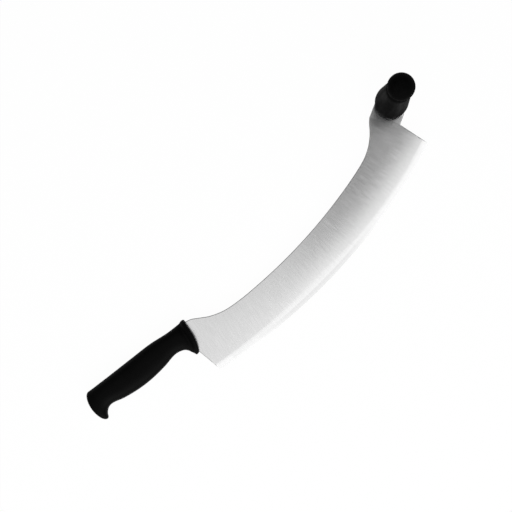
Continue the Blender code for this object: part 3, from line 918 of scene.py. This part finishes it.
def white_floor():
    """A white floor that camera, gloss and glass see at full white, with a faint soft shadow left on it."""
    material = bpy.data.materials.new("studio_white")
    material.use_nodes = True
    nodes = Nodes(material.node_tree)
    nodes.tree.nodes.clear()
    paint = (FLOOR_TONE, FLOOR_TONE, FLOOR_TONE, 1.0)
    diffuse = nodes.add("ShaderNodeBsdfDiffuse", {"Color": paint}).outputs["BSDF"]
    glow = nodes.add("ShaderNodeEmission", {"Color": WHITE, "Strength": 1.0}).outputs["Emission"]
    path = nodes.add("ShaderNodeLightPath").outputs
    seen = nodes.math("ADD", path["Is Camera Ray"], path["Is Glossy Ray"])
    seen = nodes.math("ADD", seen, path["Is Transmission Ray"])
    share = nodes.math("MULTIPLY", nodes.math("MINIMUM", seen, 1.0), FLOOR_GLOW_SHARE)
    mixed = nodes.add("ShaderNodeMixShader", {0: share, 1: diffuse, 2: glow}).outputs["Shader"]
    nodes.add("ShaderNodeOutputMaterial", {"Surface": mixed})
    return material


def make_floor():
    shape = bmesh.new()
    bmesh.ops.create_grid(shape, x_segments=1, y_segments=1, size=FLOOR_REACH)
    floor = new_piece("floor", shape)
    floor.data.materials.append(white_floor())


def look_at(place, aim, up):
    """A matrix that stands at a place and looks at an aim, with up at the top of its view."""
    back = (place - aim).normalized()
    right = up.cross(back).normalized()
    rotation = Matrix((right, back.cross(right), back)).transposed()
    return Matrix.Translation(place) @ rotation.to_4x4()


def area_light(name, width, depth, brightness, stance):
    """A soft light with a rectangular face, which stands as a matrix says."""
    light = bpy.data.lights.new(name, "AREA")
    light.shape = "RECTANGLE"
    light.size = width
    light.size_y = depth
    light.energy = brightness * BRIGHTNESS_UNIT * width * depth
    lamp = bpy.data.objects.new(name, light)
    lamp.matrix_world = stance
    bpy.context.scene.collection.objects.link(lamp)


def softbox(name, edge, turn, right, brightness):
    """A big light overhead, turned in plan, its near edge and right end this far from the camera's axis."""
    along = Vector((math.cos(turn), math.sin(turn), 0.0))
    away = Vector((math.sin(turn), -math.cos(turn), 0.0))
    centre = Vector((0.0, CAMERA_PLACE.y, 0.0))
    centre += away * (edge + SOFTBOX_DEPTH / 2) + along * (right - SOFTBOX_WIDTH / 2)
    centre.z = SOFTBOX_HEIGHT
    stance = look_at(centre, centre - UPWARD, -away)
    area_light(name, SOFTBOX_WIDTH, SOFTBOX_DEPTH, brightness, stance)


def side_softbox(name, azimuth, elevation, brightness):
    """A smaller light at one side, turned towards the knife."""
    level = math.cos(elevation)
    way = Vector((level * math.cos(azimuth), level * math.sin(azimuth), math.sin(elevation)))
    stance = look_at(way * SIDE_DISTANCE, Vector(), UPWARD)
    area_light(name, SIDE_WIDTH, SIDE_HEIGHT, brightness, stance)


def surround():
    """White walls and a dim ceiling. The camera sees white all round, and gloss sees walls and ceiling."""
    world = bpy.data.worlds.new("studio")
    world.use_nodes = True
    nodes = Nodes(world.node_tree)
    sky = world.node_tree.nodes["Background"]
    sky.inputs["Color"].default_value = WHITE
    way = nodes.add("ShaderNodeTexCoord").outputs["Generated"]
    height = nodes.add("ShaderNodeSeparateXYZ", {"Vector": way}).outputs["Z"]
    wall = nodes.scale(height, WALL_TOP, CEILING_START, 1.0, CEILING_LEVEL)
    path = nodes.add("ShaderNodeLightPath").outputs
    sharp = nodes.math("ADD", path["Is Glossy Ray"], path["Is Transmission Ray"])
    level = nodes.scale(sharp, 0.0, 1.0, CEILING_LEVEL, wall)
    nodes.link(nodes.math("MAXIMUM", level, path["Is Camera Ray"]), sky.inputs["Strength"])
    bpy.context.scene.world = world


def light_studio():
    surround()
    softbox("softbox_front", edge=0.162, turn=math.radians(6), right=2.2, brightness=1.02)
    softbox("softbox_left", edge=-0.120, turn=math.radians(-114), right=1.5, brightness=0.64)
    side_softbox("softbox_low", azimuth=math.radians(-125), elevation=math.radians(35), brightness=2.6)


def make_camera():
    data = bpy.data.cameras.new("camera")
    data.sensor_width = SENSOR_MM
    data.lens = LENS_MM
    camera = bpy.data.objects.new("camera", data)
    camera.matrix_world = look_at(CAMERA_PLACE, CAMERA_AIM, PICTURE_UP)
    bpy.context.scene.collection.objects.link(camera)
    bpy.context.scene.camera = camera


grain = moulded_grain()
grip_plastic = plastic("satin_grip_plastic", grain, GRIP_GLOSS, GRIP_FINISH)
knob_plastic = plastic("matte_knob_plastic", grain, KNOB_GLOSS, KNOB_FINISH)
make_blade(steel())
tool = slot_tool()
make_main_handle(grip_plastic, tool)
make_second_handle(knob_plastic, tool)
bpy.data.objects.remove(tool, do_unlink=True)
make_floor()
light_studio()
make_camera()
bpy.context.scene.view_settings.view_transform = "Standard"
